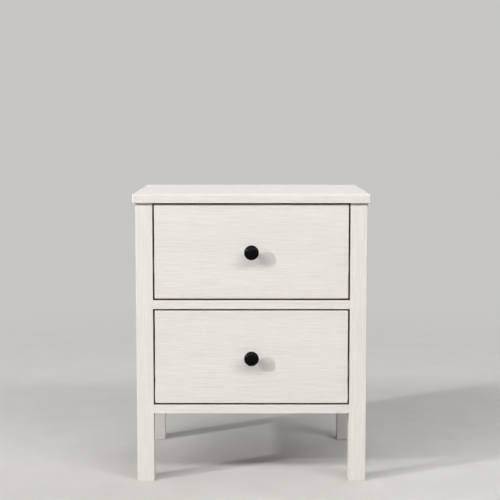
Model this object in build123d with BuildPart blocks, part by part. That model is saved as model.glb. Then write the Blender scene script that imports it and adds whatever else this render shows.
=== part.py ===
from build123d import *
import os

# Nightstand with two inset drawers on ball-bearing slides.
# Millimetres, +Z up, +Y to the back, origin on the floor at the middle of the footprint.

# Driving dimensions: top and frame
top_width = 480.0
top_thickness = 18.0
top_overhang = 5.5  # past the legs at the front and at both sides, flush at the back
top_edge_radius = 3.0
top_lower_radius = 0.5  # underneath, where the edge stays crisp
frame_depth = 370.0  # over the legs, front face to back face
leg_size = 34.5
leg_outer_radius = 1.5
leg_inner_radius = 0.5
foot_clearance = 142.0  # floor to the underside of the bottom rail
rail_thickness = 18.0
rail_depth = 60.0
rail_edge_radius = 0.5
side_panel_thickness = 15.0
side_panel_recess = 5.0  # from the outer faces of the legs
back_thickness = 5.0
back_rabbet = 10.0  # how far the back panel reaches into each rear leg
panel_clearance = 0.2
stretcher_gap = 2.0  # between the drawer front and the stretcher behind it
batten_margin = 4.5  # above and below the slide that it carries

# Driving dimensions: drawers
reveal = 3.5  # gap all round each drawer front
front_height = 191.0
front_thickness = 18.0
front_edge_radius = 1.0
box_lift = 15.0  # lower edge of the drawer box above that of its front
box_top_drop = 37.0  # upper edge of the box below that of its front
box_rear_gap = 32.0  # behind the box, to the back panel
box_board = 12.0
box_edge_radius = 1.5
bottom_thickness = 4.0
bottom_lift = 8.0
groove_depth = 5.0
groove_clearance = 0.1

# Driving dimensions: slides
slide_setback = 3.0  # behind the back face of the drawer front
slide_rear_gap = 12.0  # slide shorter than the box at the back
slide_overlap = 75.0  # length of the slide that stays engaged when the drawer is out
slide_thickness = 12.7
slide_height = 35.0
slide_lift = 52.0  # middle of the slide above the lower edge of the box
sheet = 1.2
ball_radius = 2.0
race_clearance = 0.1
ball_clearance = 0.2
cage_sheet = 0.5
cage_gap = 0.3
cage_margin = 1.0
balls_per_row = 6
ball_end_margin = 6.0

# Driving dimensions: knobs
knob_radius = 15.0
knob_base_radius = 7.0
knob_base_height = 2.0
knob_neck_radius = 5.0
knob_neck_top_radius = 7.5
knob_head_flare = 3.7  # underside of the head, from the neck to the rim
knob_rim_height = 19.0  # widest circle of the head above the drawer front
knob_rim_half = 1.6  # rounded rim above and below that circle
knob_dome_rise = 5.4
knob_rim_inset = 0.7
knob_hole_clearance = 0.3
knob_screw_radius = 2.0
knob_screw_bite = 10.0
knob_screw_head_radius = 4.2
knob_screw_head_height = 2.4

# Driving dimensions: fasteners and glides
dowel_radius = 4.0
dowel_length = 30.0
dowel_chamfer = 1.0
dowel_top_bite = 12.0  # depth of the upright dowels in the top
dowel_top_inset = 60.0  # of the upright dowels from the legs
side_dowel_inset = 40.0
rail_dowel_setback = 9.0
rail_bolt_setback = 24.0
bolt_thread_radius = 2.5
bolt_thread_length = 11.0
bolt_shank_radius = 2.0
bolt_reach = 24.0  # joint face to the middle of the cam nut
bolt_head_length = 3.0
cam_clearance = 0.3
cam_wall = 1.2
rail_cam_radius = 7.5
drawer_cam_radius = 6.0
drawer_cam_inset = 32.0  # from the upper and lower edges of the box
screw_head_radius = 3.2
screw_head_height = 1.9
screw_shank_radius = 1.5
screw_tip = 2.5
recess_width = 0.8  # cross recess in every head
recess_depth = 0.9
screw_recess = 1.8  # reach of the recess from the middle of a head
cam_recess = 3.6
knob_screw_recess = 2.1
slide_screw_cover = 2.2  # drawer side left over the tip of a slide screw
slide_screw_inset = 8.0
back_screw_bite = 9.0
back_screw_inset = 60.0
back_rail_screw_inset = 100.0
box_screw_bite = 18.0
box_screw_inset = 14.0
top_screw_bite = 11.0
top_screw_inset = 80.0
fit = 0.05  # round pieces in their holes, on the radius
hole_end = 0.5  # hole past the end of what it holds
glide_radius = 9.0
glide_height = 2.5
glide_proud = 0.5  # below the foot of the leg; the rest is let into it
glide_clearance = 0.2
glide_edge_radius = 0.4
glide_nail_radius = 1.2
glide_nail_length = 14.0

# Places that follow from the sizes above
frame_width = top_width - 2 * top_overhang
half_frame = frame_width / 2
half_opening = half_frame - leg_size
knob_projection = knob_rim_height + knob_rim_half + knob_dome_rise
front_y = (knob_projection - frame_depth) / 2
back_y = front_y + frame_depth
bay_pitch = front_height + 2 * reveal + rail_thickness
lower_front_low = foot_clearance + rail_thickness + reveal
middle_rail_low = lower_front_low + front_height + reveal
under_top = foot_clearance + 2 * bay_pitch
carcass_middle = (foot_clearance + under_top) / 2
panel_inner = half_frame - side_panel_recess - side_panel_thickness
panel_middle = half_frame - side_panel_recess - side_panel_thickness / 2
leg_middle = half_frame - leg_size / 2
rail_back = back_y - back_thickness
box_front = front_y + front_thickness
box_back = rail_back - box_rear_gap
box_height = front_height - box_lift - box_top_drop
half_box = half_opening - slide_thickness
box_inner = half_box - box_board
half_front = half_opening - reveal
slide_front = box_front + slide_setback
slide_length = box_back - slide_rear_gap - slide_front
slide_travel = slide_length - slide_overlap
batten_height = slide_height + 2 * batten_margin
stretcher_front = box_front + stretcher_gap
slide_screw_length = sheet + box_board - slide_screw_cover
back_screw_length = back_thickness + back_screw_bite
box_screw_length = box_board + box_screw_bite
top_screw_length = rail_thickness + top_screw_bite

sides = (("left", -1), ("right", 1))
drawers = (("lower", lower_front_low), ("upper", lower_front_low + bay_pitch))

os.makedirs("parts", exist_ok=True)


def save(name, piece):
    piece.part.label = name
    export_step(piece.part, f"parts/{name}.step")


def block(x, y, z, mode=Mode.ADD):
    # A block between two values along each axis, in the part that is being made.
    with Locations(((x[0] + x[1]) / 2, (y[0] + y[1]) / 2, (z[0] + z[1]) / 2)):
        Box(abs(x[1] - x[0]), y[1] - y[0], z[1] - z[0], mode=mode)


def facing(point, direction, along=None):
    # A place at a point, with its own Z in the direction given and its X along another.
    return Plane(origin=point, x_dir=along, z_dir=direction).location


def drill(*fittings):
    # Cuts the holes of the fasteners that meet the part being made, where each one sits.
    for places, hole in fittings:
        with Locations(*places):
            add(hole, mode=Mode.SUBTRACT)


def cross_recess(reach):
    # The cross recess of a head whose flat face is the part's own XY plane.
    Box(2 * reach, recess_width, 2 * recess_depth, mode=Mode.SUBTRACT)
    Box(recess_width, 2 * reach, 2 * recess_depth, mode=Mode.SUBTRACT)


# Fasteners, each made once at its own origin

with BuildPart() as dowel:
    Cylinder(dowel_radius, dowel_length)
    chamfer(dowel.edges().filter_by(GeomType.CIRCLE), dowel_chamfer)

with BuildPart() as dowel_hole:
    Cylinder(dowel_radius + fit, dowel_length + 2 * hole_end)


def screw(length):
    # A countersunk wood screw along -Z, with its head's flat face at the origin.
    with BuildPart() as made:
        with BuildSketch(Plane.XZ) as outline:
            with BuildLine():
                Polyline(
                    (0, 0),
                    (screw_head_radius, 0),
                    (screw_shank_radius, -screw_head_height),
                    (screw_shank_radius, screw_tip - length),
                    (0, -length),
                    close=True,
                )
            make_face()
        revolve(outline.sketch, axis=Axis.Z)
        cross_recess(screw_recess)
    return made.part


def screw_hole(length):
    # The countersunk hole that the screw fills, with clearance on the radius and at the tip.
    with BuildPart() as made:
        with BuildSketch(Plane.XZ) as outline:
            with BuildLine():
                Polyline(
                    (0, 0),
                    (screw_head_radius + fit, 0),
                    (screw_shank_radius + fit, -screw_head_height),
                    (screw_shank_radius + fit, -length - hole_end),
                    (0, -length - hole_end),
                    close=True,
                )
            make_face()
        revolve(outline.sketch, axis=Axis.Z)
    return made.part


# Cam bolt along +Z: the thread below the origin, the shank above it and a head at its end.
with BuildPart() as cam_bolt:
    with BuildSketch(Plane.XZ) as bolt_outline:
        with BuildLine():
            head_low = bolt_reach - bolt_head_length / 2
            Polyline(
                (0, -bolt_thread_length),
                (bolt_thread_radius, -bolt_thread_length),
                (bolt_thread_radius, 0),
                (bolt_shank_radius, 0),
                (bolt_shank_radius, head_low),
                (bolt_thread_radius, head_low),
                (bolt_thread_radius, head_low + bolt_head_length),
                (0, head_low + bolt_head_length),
                close=True,
            )
        make_face()
    revolve(bolt_outline.sketch, axis=Axis.Z)

with BuildPart() as cam_bolt_hole:
    with BuildSketch(Plane.XY.offset(-bolt_thread_length - hole_end)):
        Circle(bolt_thread_radius + fit)
    extrude(amount=bolt_thread_length + bolt_reach + bolt_head_length + hole_end)

pocket_radius = bolt_thread_radius + cam_clearance


def cam_depth(axis_depth):
    return axis_depth + pocket_radius + cam_wall


def cam_nut(radius, axis_depth):
    # A cam nut below its flat face at the origin, open towards +X where the bolt comes in.
    with BuildPart() as made:
        with Locations((0, 0, -cam_depth(axis_depth) / 2)):
            Cylinder(radius, cam_depth(axis_depth))
        with BuildSketch(Plane.YZ.offset(-bolt_head_length)):
            with Locations((0, -axis_depth)):
                Circle(pocket_radius)
        extrude(amount=radius + 2 * bolt_head_length, mode=Mode.SUBTRACT)
        cross_recess(cam_recess)
    return made.part


def cam_hole(radius, axis_depth):
    with BuildPart() as made:
        depth = cam_depth(axis_depth) + hole_end
        with Locations((0, 0, -depth / 2)):
            Cylinder(radius + fit, depth)
    return made.part


# Where the carcass fasteners sit

side_dowel_heights = (
    foot_clearance + side_dowel_inset,
    carcass_middle,
    under_top - side_dowel_inset,
)
leg_rows = (("front", front_y + leg_size / 2), ("rear", back_y - leg_size / 2))
joint_rows = (front_y + leg_size, back_y - leg_size)
top_dowel_rows = (joint_rows[0] + dowel_top_inset, joint_rows[1] - dowel_top_inset)
rails = {
    "bottom_front_rail": (front_y, foot_clearance),
    "middle_front_rail": (front_y, middle_rail_low),
    "top_front_stretcher": (stretcher_front, under_top - rail_thickness),
    "top_rear_stretcher": (rail_back - rail_depth, under_top - rail_thickness),
    "bottom_rear_rail": (rail_back - rail_depth, foot_clearance),
}
stretcher_dowel_y = (stretcher_front + front_y + leg_size) / 2

dowel_places = []
cam_bolt_places = []
cam_nut_places = []
for _, side in sides:
    for height in side_dowel_heights:
        for joint_y in joint_rows:
            dowel_places.append(facing((side * panel_middle, joint_y, height), (0, 1, 0)))
    for row in top_dowel_rows:
        middle = under_top + dowel_top_bite - dowel_length / 2
        dowel_places.append(facing((side * panel_middle, row, middle), (0, 0, 1)))
    for rail_name, (rail_front, rail_low) in rails.items():
        rail_middle = rail_low + rail_thickness / 2
        if rail_name == "top_front_stretcher":
            point = (side * half_opening, stretcher_dowel_y, rail_middle)
            dowel_places.append(facing(point, (1, 0, 0)))
            continue
        at_front = rail_front == front_y
        dowel_y = front_y + rail_dowel_setback if at_front else rail_back - rail_dowel_setback
        bolt_y = front_y + rail_bolt_setback if at_front else rail_back - rail_bolt_setback
        dowel_places.append(facing((side * half_opening, dowel_y, rail_middle), (1, 0, 0)))
        cam_bolt_places.append(facing((side * half_opening, bolt_y, rail_middle), (-side, 0, 0)))
        nut_point = (side * (half_opening - bolt_reach), bolt_y, rail_low)
        cam_nut_places.append(facing(nut_point, (0, 0, -1), along=(side, 0, 0)))

top_screw_places = [
    facing((side * (half_opening - top_screw_inset), rail_front + rail_depth / 2, rail_low), (0, 0, -1))
    for _, side in sides
    for rail_name, (rail_front, rail_low) in rails.items()
    if rail_name.startswith("top")
]

back_screw_places = []
for _, side in sides:
    for height in (foot_clearance + back_screw_inset, carcass_middle, under_top - back_screw_inset):
        point = (side * (half_opening + back_rabbet / 2), back_y, height)
        back_screw_places.append(facing(point, (0, 1, 0)))
    for rail_low in (foot_clearance, under_top - rail_thickness):
        point = (side * (half_opening - back_rail_screw_inset), back_y, rail_low + rail_thickness / 2)
        back_screw_places.append(facing(point, (0, 1, 0)))

slide_screw_rows = (
    slide_front + slide_screw_inset,
    slide_front + slide_length / 2,
    slide_front + slide_length - slide_screw_inset,
)
slide_heights = {name: front_low + box_lift + slide_lift for name, front_low in drawers}
slide_screw_places = [
    facing((side * (half_opening - sheet), row, slide_heights[name]), (-side, 0, 0))
    for name, _ in drawers
    for _, side in sides
    for row in slide_screw_rows
]

rail_axis_depth = rail_thickness / 2
back_screw_hole = screw_hole(back_screw_length)
slide_screw_hole = screw_hole(slide_screw_length)
top_screw_hole = screw_hole(top_screw_length)
rail_cam_hole = cam_hole(rail_cam_radius, rail_axis_depth)
dowel_fitting = (dowel_places, dowel_hole.part)
bolt_fitting = (cam_bolt_places, cam_bolt_hole.part)
nut_fitting = (cam_nut_places, rail_cam_hole)
top_screw_fitting = (top_screw_places, top_screw_hole)
back_screw_fitting = (back_screw_places, back_screw_hole)
slide_screw_fitting = (slide_screw_places, slide_screw_hole)

# Top panel, with its front and side edges rounded over

with BuildPart() as top_panel:
    block(
        (-top_width / 2, top_width / 2),
        (front_y - top_overhang, back_y),
        (under_top, under_top + top_thickness),
    )
    back_edges = top_panel.faces().sort_by(Axis.Y)[-1].edges()
    lower_edges = top_panel.faces().sort_by(Axis.Z)[0].edges()
    fillet(top_panel.edges() - back_edges - lower_edges, top_edge_radius)
    back_edges = top_panel.faces().sort_by(Axis.Y)[-1].edges()
    lower_edges = top_panel.faces().sort_by(Axis.Z)[0].edges()
    fillet(lower_edges - back_edges, top_lower_radius)
    drill(dowel_fitting, top_screw_fitting)
save("top_panel", top_panel)

# Legs on nailed glides that are let into their feet; the rear pair is rabbeted for the back panel

with BuildPart() as glide_seat:
    with BuildSketch(Plane.XY):
        Circle(glide_radius + glide_clearance)
    extrude(amount=glide_height)
    with BuildSketch(Plane.XY):
        Circle(glide_nail_radius + fit)
    extrude(amount=glide_height + glide_nail_length + hole_end)

glide_places = [Location((side * leg_middle, leg_y, 0)) for _, side in sides for _, leg_y in leg_rows]

for side_name, side in sides:
    for row_name, leg_y in leg_rows:
        with BuildPart() as leg:
            block(
                (side * half_opening, side * half_frame),
                (leg_y - leg_size / 2, leg_y + leg_size / 2),
                (glide_proud, under_top),
            )
            uprights = leg.edges().filter_by(Axis.Z).group_by(Axis.X)
            inner_edges = uprights[0 if side > 0 else -1]
            outer_edges = uprights[-1 if side > 0 else 0]
            fillet(outer_edges, leg_outer_radius)
            fillet(inner_edges, leg_inner_radius)
            if row_name == "rear":
                block(
                    (side * (half_opening - panel_clearance), side * (half_opening + back_rabbet)),
                    (rail_back, back_y),
                    (foot_clearance, under_top),
                    mode=Mode.SUBTRACT,
                )
            drill(
                dowel_fitting,
                bolt_fitting,
                slide_screw_fitting,
                back_screw_fitting,
                (glide_places, glide_seat.part),
            )
        save(f"{row_name}_{side_name}_leg", leg)

with BuildPart() as foot_glides:
    for place in glide_places:
        with BuildSketch(Plane(place)):
            Circle(glide_radius)
        extrude(amount=glide_height)
    fillet(foot_glides.edges().group_by(Axis.Z)[0], glide_edge_radius)
    for place in glide_places:
        with BuildSketch(Plane(place).offset(glide_height)):
            Circle(glide_nail_radius)
        extrude(amount=glide_nail_length)
save("foot_glides", foot_glides)

# Side panels between the legs, and the battens that bring the slides flush with the legs

for side_name, side in sides:
    with BuildPart() as side_panel:
        block(
            (side * panel_inner, side * (panel_inner + side_panel_thickness)),
            joint_rows,
            (foot_clearance, under_top),
        )
        drill(dowel_fitting, slide_screw_fitting)
    save(f"{side_name}_side_panel", side_panel)
    for drawer_name, _ in drawers:
        with BuildPart() as batten:
            middle = slide_heights[drawer_name]
            block(
                (side * half_opening, side * panel_inner),
                joint_rows,
                (middle - batten_height / 2, middle + batten_height / 2),
            )
            drill(slide_screw_fitting)
        save(f"{drawer_name}_{side_name}_batten", batten)

# Rails and stretchers: flat boards from leg to leg

for rail_name, (rail_front, rail_low) in rails.items():
    with BuildPart() as rail:
        block(
            (-half_opening, half_opening),
            (rail_front, rail_front + rail_depth),
            (rail_low, rail_low + rail_thickness),
        )
        fillet(rail.faces().sort_by(Axis.Y)[0].edges().filter_by(Axis.X), rail_edge_radius)
        drill(dowel_fitting, bolt_fitting, nut_fitting, top_screw_fitting, back_screw_fitting)
    save(rail_name, rail)

# Back panel in the rabbets of the rear legs

with BuildPart() as back_panel:
    half_back = half_opening + back_rabbet - panel_clearance
    block(
        (-half_back, half_back),
        (rail_back, back_y),
        (foot_clearance + panel_clearance, under_top - panel_clearance),
    )
    drill(back_screw_fitting)
save("back_panel", back_panel)

# Carcass fasteners

def save_group(name, piece, places):
    # Copies of one fastener, each a solid of its own, as one node.
    with BuildPart() as group:
        with Locations(*places):
            add(piece)
    save(name, group)


save_group("wood_dowels", dowel.part, dowel_places)
save_group("rail_cam_bolts", cam_bolt.part, cam_bolt_places)
save_group("rail_cam_nuts", cam_nut(rail_cam_radius, rail_axis_depth), cam_nut_places)
save_group("top_screws", screw(top_screw_length), top_screw_places)
save_group("back_panel_screws", screw(back_screw_length), back_screw_places)
save_group("slide_screws", screw(slide_screw_length), slide_screw_places)

# Slide sections, drawn from the cabinet side (X = 0) to the drawer side, with Y upwards

race_inner = ball_radius + race_clearance
race_outer = race_inner + sheet
ball_height = slide_height / 2 - race_outer  # middle of a ball row above the middle of the slide
cage_low = race_clearance + cage_gap + cage_sheet
cup_drop = cage_low + cage_gap  # the inner races end this far short of the middle of the balls
cup_start = sheet + 2 * cage_gap + cage_sheet
cage_web = sheet + cage_gap
cage_length = slide_overlap - 2 * cage_margin
cage_front = slide_front + slide_travel / 2 + cage_margin
ball_pitch = (cage_length - 2 * ball_end_margin) / (balls_per_row - 1)


def slide_plane(side, y, height):
    # The section plane of one slide: its X points from the cabinet to the drawer, its Y up.
    return Plane(origin=(side * half_opening, y, height), x_dir=(-side, 0, 0), z_dir=(0, side, 0))


def outer_section():
    # A channel whose rims curl over the two rows of balls.
    with BuildLine() as outline:
        for v in (1, -1):
            Line((0, 0), (0, v * ball_height))
            ThreePointArc(
                (0, v * ball_height),
                (race_outer, v * (ball_height + race_outer)),
                (2 * race_outer, v * ball_height),
            )
            Line((2 * race_outer, v * ball_height), (race_outer + race_inner, v * ball_height))
            ThreePointArc(
                (race_outer + race_inner, v * ball_height),
                (race_outer, v * (ball_height + race_inner)),
                (sheet, v * ball_height),
            )
            Line((sheet, v * ball_height), (sheet, 0))
    make_face(outline.edges())


def arc_drop(radius, offset):
    # How far a circle hangs below its middle, at an offset to the side.
    return (radius**2 - offset**2) ** 0.5


def inner_section():
    # A narrower channel whose flanges are cupped to carry the balls.
    flange_top = ball_height - cup_drop
    flange_low = flange_top - sheet
    cup_offset = race_outer - cup_start
    with BuildLine() as outline:
        for v in (1, -1):
            cup_rim = race_outer + arc_drop(race_inner, cup_drop)
            cup_heel = race_outer + arc_drop(race_outer, cup_drop + sheet)
            lip_top = ball_height - arc_drop(race_inner, cup_offset)
            lip_low = ball_height - arc_drop(race_outer, cup_offset)
            Line((slide_thickness, 0), (slide_thickness, v * flange_top))
            Line((slide_thickness, v * flange_top), (cup_rim, v * flange_top))
            ThreePointArc(
                (cup_rim, v * flange_top),
                (race_outer, v * (ball_height - race_inner)),
                (cup_start, v * lip_top),
            )
            Line((cup_start, v * lip_top), (cup_start, v * lip_low))
            ThreePointArc(
                (cup_start, v * lip_low),
                (race_outer, v * (ball_height - race_outer)),
                (cup_heel, v * flange_low),
            )
            Line((cup_heel, v * flange_low), (slide_thickness - sheet, v * flange_low))
            Line((slide_thickness - sheet, v * flange_low), (slide_thickness - sheet, 0))
    make_face(outline.edges())


def cage_section():
    # A thin channel that keeps the balls apart, level with their middles.
    rim = ball_height - cage_low + cage_sheet
    rim_end = 2 * race_outer
    with BuildLine() as outline:
        Polyline(
            (cage_web, rim),
            (rim_end, rim),
            (rim_end, rim - cage_sheet),
            (cage_web + cage_sheet, rim - cage_sheet),
            (cage_web + cage_sheet, cage_sheet - rim),
            (rim_end, cage_sheet - rim),
            (rim_end, -rim),
            (cage_web, -rim),
            close=True,
        )
    make_face(outline.edges())


def ball_places(height):
    # Both rows of balls of both slides of one drawer.
    return [
        Location((
            side * (half_opening - race_outer),
            cage_front + ball_end_margin + number * ball_pitch,
            height + v * ball_height,
        ))
        for _, side in sides
        for v in (1, -1)
        for number in range(balls_per_row)
    ]


for drawer_name, _ in drawers:
    height = slide_heights[drawer_name]
    for side_name, side in sides:
        with BuildPart() as outer_slide:
            with BuildSketch(slide_plane(side, slide_front, height)):
                outer_section()
            extrude(amount=side * slide_length)
            drill(slide_screw_fitting)
        save(f"{drawer_name}_{side_name}_slide_channel", outer_slide)

    with BuildPart() as cages:
        for _, side in sides:
            with BuildSketch(slide_plane(side, cage_front, height)):
                cage_section()
            extrude(amount=side * cage_length)
        with Locations(*ball_places(height)):
            Sphere(ball_radius + ball_clearance, mode=Mode.SUBTRACT)
    save(f"{drawer_name}_ball_cages", cages)

    with BuildPart() as balls:
        with Locations(*ball_places(height)):
            Sphere(ball_radius)
    save(f"{drawer_name}_slide_balls", balls)

# Knob, turned about the axis that points out of the drawer front

def knob_outline():
    # Half section of the knob: X is the radius, Y the height above the drawer front.
    dome_edge = knob_radius - knob_rim_inset
    dome_low = knob_rim_height + knob_rim_half
    dome_radius = (dome_edge**2 + knob_dome_rise**2) / (2 * knob_dome_rise)
    head_edge = (dome_edge, knob_rim_height - knob_rim_half)
    neck_top = (knob_neck_top_radius, head_edge[1] - knob_head_flare)
    with BuildLine() as outline:
        Polyline((0, 0), (knob_base_radius, 0), (knob_base_radius, knob_base_height))
        ThreePointArc(
            (knob_base_radius, knob_base_height),
            (knob_neck_radius, (knob_base_height + neck_top[1]) / 2),
            neck_top,
        )
        Line(neck_top, head_edge)
        ThreePointArc(head_edge, (knob_radius, knob_rim_height), (dome_edge, dome_low))
        RadiusArc((dome_edge, dome_low), (0, knob_projection), -dome_radius)
        Line((0, knob_projection), (0, 0))
    make_face(outline.edges())


def machine_screw(length):
    # The knob's screw along -Z, with its pan head above the origin.
    with BuildPart() as made:
        with BuildSketch(Plane.XY.offset(-length)):
            Circle(knob_screw_radius)
        extrude(amount=length)
        with BuildSketch(Plane.XY):
            Circle(knob_screw_head_radius)
        extrude(amount=knob_screw_head_height)
        fillet(made.edges().group_by(Axis.Z)[-1], knob_screw_head_height / 2)
        with Locations((0, 0, knob_screw_head_height)):
            cross_recess(knob_screw_recess)
    return made.part


knob_screw = machine_screw(front_thickness + knob_screw_bite)

# Drawers: a front, two sides, a back and a bottom in grooves, hung on the inner slides

drawer_axis_depth = box_board / 2
box_screw_hole = screw_hole(box_screw_length)
drawer_cam_hole = cam_hole(drawer_cam_radius, drawer_axis_depth)


def make_drawer(name, front_low):
    box_low = front_low + box_lift
    box_high = box_low + box_height
    knob_height = front_low + front_height / 2
    slide_middle = slide_heights[name]
    bolts = []
    nuts = []
    box_screws = []
    runner_screws = []
    for _, side in sides:
        for height in (box_low + drawer_cam_inset, box_high - drawer_cam_inset):
            bolt_point = (side * (half_box - drawer_axis_depth), box_front, height)
            nut_point = (side * box_inner, box_front + bolt_reach, height)
            bolts.append(facing(bolt_point, (0, 1, 0)))
            nuts.append(facing(nut_point, (-side, 0, 0), along=(0, -1, 0)))
        for height in (box_low + box_screw_inset, box_high - box_screw_inset):
            point = (side * half_box, box_back - drawer_axis_depth, height)
            box_screws.append(facing(point, (side, 0, 0)))
        for row in slide_screw_rows:
            point = (side * (half_box + sheet), row, slide_middle)
            runner_screws.append(facing(point, (side, 0, 0)))
    bolt_set = (bolts, cam_bolt_hole.part)
    nut_set = (nuts, drawer_cam_hole)
    box_screw_set = (box_screws, box_screw_hole)
    runner_screw_set = (runner_screws, slide_screw_hole)

    groove_low = box_low + bottom_lift
    groove = (groove_low - groove_clearance, groove_low + bottom_thickness + groove_clearance)
    half_bottom = box_inner + groove_depth
    bottom_front = box_front - groove_depth
    bottom_back = box_back - box_board + groove_depth

    with BuildPart() as front:
        block((-half_front, half_front), (front_y, box_front), (front_low, front_low + front_height))
        fillet(front.faces().sort_by(Axis.Y)[0].edges(), front_edge_radius)
        block((-half_bottom, half_bottom), (bottom_front, box_front), groove, mode=Mode.SUBTRACT)
        with Locations(facing((0, front_y, knob_height), (0, -1, 0))):
            Hole(knob_screw_radius + knob_hole_clearance, front_thickness)
        drill(bolt_set)
    save(f"{name}_drawer_front", front)

    for side_name, side in sides:
        with BuildPart() as box_side:
            block((side * box_inner, side * half_box), (box_front, box_back), (box_low, box_high))
            fillet(box_side.faces().sort_by(Axis.Z)[-1].edges().filter_by(Axis.Y), box_edge_radius)
            block((side * box_inner, side * half_bottom), (box_front, box_back), groove, mode=Mode.SUBTRACT)
            drill(bolt_set, nut_set, box_screw_set, runner_screw_set)
        save(f"{name}_drawer_{side_name}_side", box_side)

    with BuildPart() as box_end:
        block((-box_inner, box_inner), (box_back - box_board, box_back), (box_low, box_high))
        fillet(box_end.faces().sort_by(Axis.Z)[-1].edges().filter_by(Axis.X), box_edge_radius)
        block((-box_inner, box_inner), (box_back - box_board, bottom_back), groove, mode=Mode.SUBTRACT)
        drill(box_screw_set)
    save(f"{name}_drawer_back", box_end)

    with BuildPart() as bottom:
        block(
            (-half_bottom + groove_clearance, half_bottom - groove_clearance),
            (bottom_front + groove_clearance, bottom_back - groove_clearance),
            (groove_low, groove_low + bottom_thickness),
        )
    save(f"{name}_drawer_bottom", bottom)

    for side_name, side in sides:
        with BuildPart() as runner:
            with BuildSketch(slide_plane(side, slide_front, slide_middle)):
                inner_section()
            extrude(amount=side * slide_length)
            drill(runner_screw_set)
        save(f"{name}_{side_name}_slide_runner", runner)

    knob_plane = Plane(origin=(0, front_y, knob_height), x_dir=(1, 0, 0), z_dir=(0, 0, -1))
    with BuildPart() as knob:
        with BuildSketch(knob_plane) as half_section:
            knob_outline()
        revolve(half_section.sketch, axis=Axis((0, front_y, knob_height), (0, -1, 0)))
        with Locations(facing((0, front_y, knob_height), (0, 1, 0))):
            Hole(knob_screw_radius + fit, knob_screw_bite + hole_end)
    save(f"{name}_knob", knob)

    save_group(f"{name}_knob_screw", knob_screw, [facing((0, box_front, knob_height), (0, 1, 0))])
    save_group(f"{name}_drawer_cam_bolts", cam_bolt.part, bolts)
    save_group(f"{name}_drawer_cam_nuts", cam_nut(drawer_cam_radius, drawer_axis_depth), nuts)
    save_group(f"{name}_drawer_back_screws", screw(box_screw_length), box_screws)
    save_group(f"{name}_runner_screws", screw(slide_screw_length), runner_screws)


for drawer_name, drawer_front_low in drawers:
    make_drawer(drawer_name, drawer_front_low)
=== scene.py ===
import math
import bpy
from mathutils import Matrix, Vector


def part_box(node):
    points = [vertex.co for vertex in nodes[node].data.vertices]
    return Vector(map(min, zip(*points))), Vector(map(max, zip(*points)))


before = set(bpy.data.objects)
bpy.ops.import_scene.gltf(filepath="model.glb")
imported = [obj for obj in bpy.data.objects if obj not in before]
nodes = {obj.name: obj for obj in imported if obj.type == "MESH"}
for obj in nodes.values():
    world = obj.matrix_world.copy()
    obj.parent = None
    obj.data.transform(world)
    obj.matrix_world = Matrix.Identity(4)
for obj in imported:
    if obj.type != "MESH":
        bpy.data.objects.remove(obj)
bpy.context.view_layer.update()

scene = bpy.context.scene
bpy.ops.object.select_all(action="DESELECT")
print("frame loaded:", len(nodes), "nodes")


# small helpers for wiring a material

def startMaterial(name):
    material = bpy.data.materials.new(name)
    material.use_nodes = True
    tree = material.node_tree
    tree.nodes.clear()
    shader = tree.nodes.new("ShaderNodeBsdfPrincipled")
    output = tree.nodes.new("ShaderNodeOutputMaterial")
    tree.links.new(shader.outputs["BSDF"], output.inputs["Surface"])
    return material, tree, shader


def feed(tree, socket, value):
    if isinstance(value, bpy.types.NodeSocket):
        tree.links.new(value, socket)
    else:
        socket.default_value = value


def addCoords(tree, scale, shift=(0, 0, 0)):
    coords = tree.nodes.new("ShaderNodeTexCoord")
    mapping = tree.nodes.new("ShaderNodeMapping")
    mapping.inputs["Scale"].default_value = scale
    mapping.inputs["Location"].default_value = shift
    tree.links.new(coords.outputs["Object"], mapping.inputs["Vector"])
    return mapping.outputs["Vector"]


def grainScale(along, longWaves, fineWaves):
    scale = [fineWaves, fineWaves, fineWaves]
    scale["XYZ".index(along)] = longWaves
    return scale


# a layer's waves are per metre: on X, Y and Z, or along and across the grain
def addNoise(tree, layer, along="", shift=(0, 0, 0)):
    scale = layer["waves"]
    if along:
        scale = grainScale(along, *scale)
    noise = tree.nodes.new("ShaderNodeTexNoise")
    noise.inputs["Scale"].default_value = 1.0      # the mapping has set it already
    noise.inputs["Detail"].default_value = layer["detail"]
    noise.inputs["Roughness"].default_value = layer["rough"]
    noise.inputs["Distortion"].default_value = layer.get("warp", 0.0)
    tree.links.new(addCoords(tree, scale, shift), noise.inputs["Vector"])
    return noise.outputs["Fac"]


def addCells(tree, waves):
    cells = tree.nodes.new("ShaderNodeTexVoronoi")
    cells.inputs["Scale"].default_value = 1.0
    tree.links.new(addCoords(tree, waves), cells.inputs["Vector"])
    return cells.outputs["Distance"]


def addMath(tree, operation, first, second=0.0, clamp=False):
    node = tree.nodes.new("ShaderNodeMath")
    node.operation = operation
    node.use_clamp = clamp
    feed(tree, node.inputs[0], first)
    feed(tree, node.inputs[1], second)
    return node.outputs[0]


def addRange(tree, value, fromLow, fromHigh, toLow=0.0, toHigh=1.0):
    node = tree.nodes.new("ShaderNodeMapRange")
    node.interpolation_type = "SMOOTHSTEP"
    feed(tree, node.inputs["Value"], value)
    node.inputs["From Min"].default_value = fromLow
    node.inputs["From Max"].default_value = fromHigh
    node.inputs["To Min"].default_value = toLow
    node.inputs["To Max"].default_value = toHigh
    return node.outputs["Result"]


mixSocket = {"factor": 0, "first": 6, "second": 7, "result": 2}   # the colour sockets of a Mix node


def addMix(tree, factor, first, second):
    node = tree.nodes.new("ShaderNodeMix")
    node.data_type = "RGBA"
    feed(tree, node.inputs[mixSocket["factor"]], factor)
    feed(tree, node.inputs[mixSocket["first"]], first)
    feed(tree, node.inputs[mixSocket["second"]], second)
    return node.outputs[mixSocket["result"]]


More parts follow.
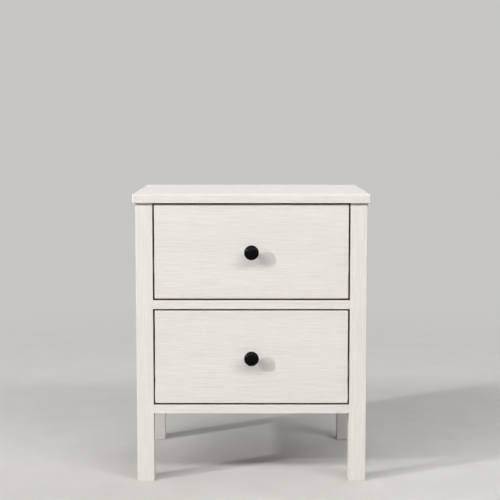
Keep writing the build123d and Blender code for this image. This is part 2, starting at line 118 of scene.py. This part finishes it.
def addBump(tree, shader, height, strength, depth):
    bump = tree.nodes.new("ShaderNodeBump")
    bump.inputs["Strength"].default_value = strength
    bump.inputs["Distance"].default_value = depth
    tree.links.new(height, bump.inputs["Height"])
    tree.links.new(bump.outputs["Normal"], shader.inputs["Normal"])


# a tone of 0 to 1 sets the roughness between the finish's two values
def addRoughness(tree, shader, tone, smooth, dull):
    feed(tree, shader.inputs["Roughness"], addRange(tree, tone, 0, 1, smooth, dull))


def facing(tree, axis):
    geometry = tree.nodes.new("ShaderNodeNewGeometry")
    parts = tree.nodes.new("ShaderNodeSeparateXYZ")
    tree.links.new(geometry.outputs["Normal"], parts.inputs["Vector"])
    return parts.outputs["XYZ".index(axis)]


def objectPlace(tree, axis):
    coords = tree.nodes.new("ShaderNodeTexCoord")
    parts = tree.nodes.new("ShaderNodeSeparateXYZ")
    tree.links.new(coords.outputs["Object"], parts.inputs["Vector"])
    return parts.outputs["XYZ".index(axis)]


# white satin paint over a brushed straight grain
whitePaint = {
    "crest": (0.83, 0.797, 0.767, 1),
    "hollow": (0.725, 0.695, 0.667, 1),
    "figure": {"waves": (2.0, 24.0), "detail": 3, "rough": 0.55, "warp": 0.6},
    "figureSpan": (0.3, 0.7),
    "figureShare": 0.22,
    "streak": {"waves": (14.0, 420.0), "detail": 3, "rough": 0.6},
    "streakSpan": (0.32, 0.68),
    "streakShare": 0.6,
    "pore": {"waves": (85.0, 1300.0), "detail": 1, "rough": 0.5},
    "poreSpan": (0.56, 0.70),
    "poreShare": 0.35,
    "rough": (0.46, 0.60),
    "specular": 0.35,
    "bump": (0.30, 0.0005),
    # bare wood inside the carcass: its own colour, darkened further as painted shade in the drawer gaps
    "bareWoodDarkenedAsShade": (0.36, 0.25, 0.16, 1),
    "bareGrainDarkenedAsShade": (0.25, 0.165, 0.10, 1),
    "lap": 0.0016,               # how far the brush went round the front arrises
    "lapLine": {"waves": (90, 90, 90), "detail": 2, "rough": 0.5},
    "slack": 0.0002,             # takes in faces that lie right on the limit
}


# inside the carcass the boards are left bare, behind the front and within the bay; the bare wood is darker
# than raw wood would be, as painted shade that deepens the gaps around the drawers
def insideCarcass(tree, reach):
    look = whitePaint
    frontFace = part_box("middle_front_rail")[0].y
    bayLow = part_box("bottom_front_rail")[1].z
    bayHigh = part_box("top_panel")[0].z
    wobble = addMath(tree, "MULTIPLY", addNoise(tree, look["lapLine"]), look["lap"])
    deep = addMath(tree, "SUBTRACT", objectPlace(tree, "Y"), wobble)
    sideways = addMath(tree, "ABSOLUTE", objectPlace(tree, "X"))
    height = objectPlace(tree, "Z")
    inside = addMath(tree, "GREATER_THAN", deep, frontFace + look["lap"] / 2)
    between = addMath(tree, "LESS_THAN", sideways, reach)
    above = addMath(tree, "GREATER_THAN", height, bayLow - look["slack"])
    below = addMath(tree, "LESS_THAN", height, bayHigh + look["slack"])
    for limit in (between, above, below):
        inside = addMath(tree, "MULTIPLY", inside, limit)
    return inside


def makeWhitePaint(name, along, shift, bareReach):
    look = whitePaint
    material, tree, shader = startMaterial(name)
    figureTone = addRange(tree, addNoise(tree, look["figure"], along, shift), *look["figureSpan"])
    streakTone = addRange(tree, addNoise(tree, look["streak"], along, shift), *look["streakSpan"])
    poreTone = addRange(tree, addNoise(tree, look["pore"], along, shift), *look["poreSpan"])
    figurePart = addMath(tree, "MULTIPLY", figureTone, look["figureShare"])
    streakPart = addMath(tree, "MULTIPLY", streakTone, look["streakShare"])
    porePart = addMath(tree, "MULTIPLY", poreTone, look["poreShare"])
    tone = addMath(tree, "ADD", figurePart, streakPart)
    tone = addMath(tree, "ADD", tone, porePart, clamp=True)
    colour = addMix(tree, tone, look["crest"], look["hollow"])
    # inside the carcass the colour turns to bare wood, partly the real unpainted interior and partly
    # painted shade that darkens the gaps
    if bareReach:
        bare = addMix(tree, tone, look["bareWoodDarkenedAsShade"], look["bareGrainDarkenedAsShade"])
        colour = addMix(tree, insideCarcass(tree, bareReach), colour, bare)
    feed(tree, shader.inputs["Base Color"], colour)
    addRoughness(tree, shader, streakTone, *look["rough"])
    shader.inputs["Specular IOR Level"].default_value = look["specular"]
    depth = addMath(tree, "ADD", streakTone, poreTone)
    addBump(tree, shader, addMath(tree, "SUBTRACT", 1.0, depth), *look["bump"])
    return material


# clear lacquered pale wood: plies show on the edges of the drawer boxes, the battens are solid
paleWood = {
    "early": (0.74, 0.60, 0.42, 1),
    "late": (0.60, 0.45, 0.28, 1),
    "plyDark": (0.50, 0.36, 0.22, 1),
    "figure": {"waves": (2.2, 30.0), "detail": 2, "rough": 0.5, "warp": 0.8},
    "rings": 7.0,
    "ringSpan": (0.15, 1.0),
    "ringShare": 0.5,
    "streak": {"waves": (14.0, 520.0), "detail": 3, "rough": 0.6},
    "streakSpan": (0.35, 0.72),
    "streakShare": 0.5,
    "rough": (0.34, 0.48),
    "bump": (0.15, 0.0003),
    "ply": 0.012 / 7,            # seven plies in a board
    "plyStep": (0.46, 0.54),
    "plyFacing": (0.3, 0.7),
}


def makePaleWood(name, along, across, outerFace, shift):
    look = paleWood
    material, tree, shader = startMaterial(name)
    figure = addNoise(tree, look["figure"], along, shift)
    rings = addMath(tree, "FRACT", addMath(tree, "MULTIPLY", figure, look["rings"]))
    ringTone = addRange(tree, rings, *look["ringSpan"])
    streakTone = addRange(tree, addNoise(tree, look["streak"], along, shift), *look["streakSpan"])
    ringPart = addMath(tree, "MULTIPLY", ringTone, look["ringShare"])
    streakPart = addMath(tree, "MULTIPLY", streakTone, look["streakShare"])
    tone = addMath(tree, "ADD", ringPart, streakPart, clamp=True)
    colour = addMix(tree, tone, look["early"], look["late"])
    if across:
        # every other ply is end grain, so it is darker; the broad faces keep their figure
        place = addMath(tree, "SUBTRACT", objectPlace(tree, across), outerFace)
        wave = addMath(tree, "FRACT", addMath(tree, "DIVIDE", place, 2 * look["ply"]))
        dark = addRange(tree, wave, *look["plyStep"])
        flat = addMath(tree, "ABSOLUTE", facing(tree, across))
        edge = addRange(tree, flat, *look["plyFacing"], 1, 0)
        colour = addMix(tree, addMath(tree, "MULTIPLY", dark, edge), colour, look["plyDark"])
    feed(tree, shader.inputs["Base Color"], colour)
    addRoughness(tree, shader, streakTone, *look["rough"])
    addBump(tree, shader, addMath(tree, "SUBTRACT", 1.0, streakTone), *look["bump"])
    return material


# hardboard: white face, brown fibre on the underside of the drawer bottoms
hardboard = {
    "white": (0.80, 0.79, 0.77, 1),
    "whiteShade": (0.75, 0.735, 0.71, 1),
    "fibre": (0.36, 0.23, 0.13, 1),
    "fibreShade": (0.25, 0.15, 0.08, 1),
    "fleck": {"waves": (420.0, 420.0, 420.0), "detail": 4, "rough": 0.65},
    "fleckSpan": (0.35, 0.7),
    "faceUp": (0.4, 0.6),
    "rough": (0.42, 0.6),
    "bump": (0.12, 0.0003),
}


def makeHardboard(name, brownUnder):
    look = hardboard
    material, tree, shader = startMaterial(name)
    fleck = addNoise(tree, look["fleck"])
    fleckTone = addRange(tree, fleck, *look["fleckSpan"])
    colour = addMix(tree, fleckTone, look["white"], look["whiteShade"])
    if brownUnder:
        brown = addMix(tree, fleckTone, look["fibre"], look["fibreShade"])
        upper = addRange(tree, facing(tree, "Z"), *look["faceUp"])
        colour = addMix(tree, upper, brown, colour)
    feed(tree, shader.inputs["Base Color"], colour)
    addRoughness(tree, shader, fleckTone, *look["rough"])
    addBump(tree, shader, fleck, *look["bump"])
    return material


# plain beech dowels: pale with short dark rays
beech = {
    "pale": (0.76, 0.62, 0.44, 1),
    "ray": (0.58, 0.42, 0.26, 1),
    "streak": {"waves": (900.0, 900.0, 160.0), "detail": 3, "rough": 0.6},
    "streakSpan": (0.45, 0.7),
    "rough": (0.6, 0.75),
    "bump": (0.15, 0.0002),
}


def makeBeech(name):
    look = beech
    material, tree, shader = startMaterial(name)
    rays = addRange(tree, addNoise(tree, look["streak"]), *look["streakSpan"])
    feed(tree, shader.inputs["Base Color"], addMix(tree, rays, look["pale"], look["ray"]))
    addRoughness(tree, shader, rays, *look["rough"])
    addBump(tree, shader, rays, *look["bump"])
    return material


# black satin coat on the knobs, with a faint orange peel
blackSatin = {
    "deep": (0.0012, 0.0012, 0.0013, 1),
    "worn": (0.0030, 0.0030, 0.0032, 1),
    "peel": {"waves": (900.0, 900.0, 900.0), "detail": 2, "rough": 0.5},
    "cloud": {"waves": (140, 140, 140), "detail": 3, "rough": 0.6},
    "cloudSpan": (0.35, 0.65),
    "rough": (0.22, 0.30),
    "specular": 0.065,
    "bump": (0.10, 0.0002),
}


def makeBlackSatin(name):
    look = blackSatin
    material, tree, shader = startMaterial(name)
    cloud = addRange(tree, addNoise(tree, look["cloud"]), *look["cloudSpan"])
    feed(tree, shader.inputs["Base Color"], addMix(tree, cloud, look["deep"], look["worn"]))
    addRoughness(tree, shader, cloud, *look["rough"])
    shader.inputs["Specular IOR Level"].default_value = look["specular"]
    addBump(tree, shader, addNoise(tree, look["peel"]), *look["bump"])
    return material


# bare metals: the slides are brushed along Y, the rest is even
metals = {
    "zincSteel": {"bright": (0.66, 0.67, 0.68, 1), "dull": (0.52, 0.53, 0.55, 1), "rough": (0.26, 0.42),
                  "brush": (1400.0, 18.0, 1400.0), "spangle": (150.0, 150.0, 150.0)},
    "screwSteel": {"bright": (0.64, 0.64, 0.63, 1), "dull": (0.50, 0.50, 0.50, 1), "rough": (0.24, 0.40),
                   "brush": (900.0, 900.0, 900.0), "spangle": (700.0, 700.0, 700.0)},
    "castZinc": {"bright": (0.58, 0.58, 0.59, 1), "dull": (0.44, 0.44, 0.46, 1), "rough": (0.42, 0.60),
                 "brush": (1100.0, 1100.0, 1100.0), "spangle": (450.0, 450.0, 450.0)},
    "ballChrome": {"bright": (0.78, 0.78, 0.79, 1), "dull": (0.70, 0.70, 0.72, 1), "rough": (0.06, 0.14),
                   "brush": (800.0, 800.0, 800.0), "spangle": (600.0, 600.0, 600.0)},
}
metalSurface = {
    "detail": 2,
    "rough": 0.5,
    "brushSpan": (0.3, 0.7),
    "brushShare": 0.5,
    "spangleSpan": (0.1, 0.8),
    "spangleShare": 0.5,
    "bump": (0.06, 0.0001),
}


def makeMetal(name):
    look = metals[name]
    surface = metalSurface
    material, tree, shader = startMaterial(name)
    shader.inputs["Metallic"].default_value = 1.0
    layer = {"waves": look["brush"], "detail": surface["detail"], "rough": surface["rough"]}
    brush = addRange(tree, addNoise(tree, layer), *surface["brushSpan"])
    spangle = addRange(tree, addCells(tree, look["spangle"]), *surface["spangleSpan"])
    brushPart = addMath(tree, "MULTIPLY", brush, surface["brushShare"])
    spanglePart = addMath(tree, "MULTIPLY", spangle, surface["spangleShare"])
    tone = addMath(tree, "ADD", brushPart, spanglePart)
    feed(tree, shader.inputs["Base Color"], addMix(tree, tone, look["bright"], look["dull"]))
    addRoughness(tree, shader, tone, *look["rough"])
    addBump(tree, shader, brush, *surface["bump"])
    return material


# moulded grey nylon of the foot glides
nylon = {
    "light": (0.32, 0.32, 0.33, 1),
    "dark": (0.24, 0.24, 0.25, 1),
    "speck": {"waves": (1500.0, 1500.0, 1500.0), "detail": 2, "rough": 0.5},
    "speckSpan": (0.3, 0.7),
    "rough": (0.5, 0.65),
    "bump": (0.10, 0.0001),
}


def makeNylon(name):
    look = nylon
    material, tree, shader = startMaterial(name)
    speck = addRange(tree, addNoise(tree, look["speck"]), *look["speckSpan"])
    feed(tree, shader.inputs["Base Color"], addMix(tree, speck, look["light"], look["dark"]))
    addRoughness(tree, shader, speck, *look["rough"])
    addBump(tree, shader, speck, *look["bump"])
    return material


# every CAD node gets its finish, and each board its own stretch of grain
boardGrain = {
    "top_panel": "X", "top_front_stretcher": "X", "top_rear_stretcher": "X",
    "middle_front_rail": "X", "bottom_front_rail": "X", "bottom_rear_rail": "X",
    "upper_drawer_front": "X", "lower_drawer_front": "X",
    "upper_drawer_back": "X", "lower_drawer_back": "X",
    "front_left_leg": "Z", "front_right_leg": "Z", "rear_left_leg": "Z", "rear_right_leg": "Z",
    "left_side_panel": "Z", "right_side_panel": "Z",
}
grainStep = (1.7, 2.3, 3.1)      # how far the pattern moves on from one node to the next
plainFinish = {
    "dowel_wood": makeBeech("beechDowel"),
    "black_satin": makeBlackSatin("blackSatin"),
    "zinc_steel": makeMetal("zincSteel"),
    "ball_chrome": makeMetal("ballChrome"),
    "zinc_alloy": makeMetal("castZinc"),
    "screw_steel": makeMetal("screwSteel"),
    "grey_nylon": makeNylon("greyNylon"),
}

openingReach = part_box("front_right_leg")[0].x + whitePaint["slack"]
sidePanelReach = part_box("right_side_panel")[0].x + whitePaint["slack"]


def paintFor(name, shift):
    bareReach = 0.0
    if "side_panel" in name:
        bareReach = sidePanelReach
    elif "drawer" not in name:
        bareReach = openingReach
    return makeWhitePaint("whitePaint." + name, boardGrain[name], shift, bareReach)


def paleWoodFor(name, shift):
    plyAxis = ""
    outerFace = 0.0
    if name.endswith("_back"):
        plyAxis = "Y"
    elif name.endswith("_side"):
        plyAxis = "X"
    if plyAxis:
        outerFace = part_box(name)[0]["XYZ".index(plyAxis)]
    return makePaleWood("paleWood." + name, boardGrain.get(name, "Y"), plyAxis, outerFace, shift)


for count, name in enumerate(sorted(nodes)):
    piece = nodes[name]
    slot = piece.material_slots[0].material.name
    shift = [step * count for step in grainStep]
    if slot == "white_paint":
        finish = paintFor(name, shift)
    elif slot == "pale_wood":
        finish = paleWoodFor(name, shift)
    elif slot == "white_hardboard":
        finish = makeHardboard("hardboard." + name, "bottom" in name)
    else:
        finish = plainFinish[slot]
    piece.material_slots[0].material = finish
print("finishes set on", len(nodes), "nodes")


# pale floor that keeps the shadow near the piece and fades into the background
floorLook = {
    "radius": 60.0,
    "corners": 128,
    "pale": (0.59, 0.577, 0.555, 1),
    "paleShade": (0.56, 0.547, 0.525, 1),
    "bounce": (0.22, 0.215, 0.205, 1),   # what the floor throws back at the piece
    "backdrop": (0.57, 0.562, 0.545, 1),
    "mottle": {"waves": (9, 9, 9), "detail": 4, "rough": 0.6},
    "mottleSpan": (0.3, 0.7),
    "rough": 0.75,
    "fade": (0.7, 2.4),                  # metres from the middle
}


def seenDirectly(tree):
    path = tree.nodes.new("ShaderNodeLightPath")
    seen = addMath(tree, "ADD", path.outputs["Is Camera Ray"], path.outputs["Is Glossy Ray"], True)
    return addMath(tree, "ADD", seen, path.outputs["Is Transmission Ray"], True)


def makeFloor():
    look = floorLook
    bpy.ops.mesh.primitive_circle_add(vertices=look["corners"], radius=look["radius"],
                                      fill_type="NGON", location=(0, 0, 0))
    floor = bpy.context.object
    floor.name = "floor"
    material, tree, shader = startMaterial("paleFloor")
    mottle = addRange(tree, addNoise(tree, look["mottle"]), *look["mottleSpan"])
    pale = addMix(tree, mottle, look["pale"], look["paleShade"])
    feed(tree, shader.inputs["Base Color"], addMix(tree, seenDirectly(tree), look["bounce"], pale))
    shader.inputs["Roughness"].default_value = look["rough"]
    glow = tree.nodes.new("ShaderNodeEmission")
    glow.inputs["Color"].default_value = look["backdrop"]
    coords = tree.nodes.new("ShaderNodeTexCoord")
    reach = tree.nodes.new("ShaderNodeVectorMath")
    reach.operation = "LENGTH"
    tree.links.new(coords.outputs["Object"], reach.inputs[0])
    far = addRange(tree, reach.outputs["Value"], *look["fade"])
    blend = tree.nodes.new("ShaderNodeMixShader")
    feed(tree, blend.inputs[0], addMath(tree, "MULTIPLY", far, seenDirectly(tree)))
    tree.links.new(shader.outputs["BSDF"], blend.inputs[1])
    tree.links.new(glow.outputs["Emission"], blend.inputs[2])
    tree.links.new(blend.outputs["Shader"], tree.nodes["Material Output"].inputs["Surface"])
    floor.data.materials.append(material)


makeFloor()
print("floor laid")


# soft studio light: a row of wide lamps high in front, a small key far to the left,
# and a surround that is brighter behind the piece, towards the right
surround = {"front": 0.075, "rear": 2.6, "towards": (0.55, 0.80, -0.4), "turn": (0.15, 0.95)}
surroundColour = (1, 1, 1, 1)
lampColour = (1.0, 0.99, 0.98)
lamps = {
    "mainLamp": {"place": (-1.0, -4.75, 5.38), "aim": (-1.0, -0.15, 0.32),
                 "size": (18.0, 1.3), "power": 380.0},
    "leftLamp": {"place": (-6.5, -4.75, 5.38), "aim": (-6.5, -0.15, 0.32),
                 "size": (9.0, 1.3), "power": 318.0},
    "rightLamp": {"place": (6.5, -4.75, 5.38), "aim": (6.5, -0.15, 0.32),
                  "size": (9.0, 1.3), "power": 264.0},
    "keyLamp": {"place": (-8.2, -5.0, 4.1), "aim": (0.0, -0.17, 0.36),
                "size": (0.45, 0.45), "power": 480.0},
}


def makeSurround():
    world = bpy.data.worlds.new("surround")
    scene.world = world
    world.use_nodes = True
    tree = world.node_tree
    tree.nodes.clear()
    coords = tree.nodes.new("ShaderNodeTexCoord")
    turned = tree.nodes.new("ShaderNodeVectorMath")
    turned.operation = "DOT_PRODUCT"
    turned.inputs[1].default_value = Vector(surround["towards"]).normalized()
    tree.links.new(coords.outputs["Generated"], turned.inputs[0])
    lit = tree.nodes.new("ShaderNodeBackground")
    lit.inputs["Color"].default_value = surroundColour
    level = addRange(tree, turned.outputs["Value"], *surround["turn"], surround["front"], surround["rear"])
    feed(tree, lit.inputs["Strength"], level)
    seen = tree.nodes.new("ShaderNodeBackground")
    seen.inputs["Color"].default_value = floorLook["backdrop"]
    blend = tree.nodes.new("ShaderNodeMixShader")
    output = tree.nodes.new("ShaderNodeOutputWorld")
    feed(tree, blend.inputs[0], seenDirectly(tree))
    tree.links.new(lit.outputs["Background"], blend.inputs[1])
    tree.links.new(seen.outputs["Background"], blend.inputs[2])
    tree.links.new(blend.outputs["Shader"], output.inputs["Surface"])


def makeLamp(name):
    look = lamps[name]
    bpy.ops.object.light_add(type="AREA", location=look["place"])
    lamp = bpy.context.object
    lamp.name = name
    lamp.data.shape = "ELLIPSE"
    lamp.data.size, lamp.data.size_y = look["size"]
    lamp.data.energy = look["power"]
    lamp.data.color = lampColour
    lamp.visible_camera = False
    away = Vector(look["aim"]) - Vector(look["place"])
    lamp.rotation_euler = away.to_track_quat("-Z", "Y").to_euler()


makeSurround()
for lampName in lamps:
    makeLamp(lampName)
print("lamps placed:", len(lamps))


# the camera stands in front of the piece, a little above its top, and looks slightly down
camera = {"place": (-0.00293, -2.67979, 0.73958), "tilt": 0.10363, "lens": 89.816, "sensor": 36.0}
bpy.ops.object.camera_add(location=camera["place"], rotation=(math.pi / 2 - camera["tilt"], 0, 0))
eye = bpy.context.object
eye.name = "frontCamera"
eye.data.lens = camera["lens"]
eye.data.sensor_width = camera["sensor"]
scene.camera = eye
scene.view_settings.view_transform = "Standard"
print("camera set")
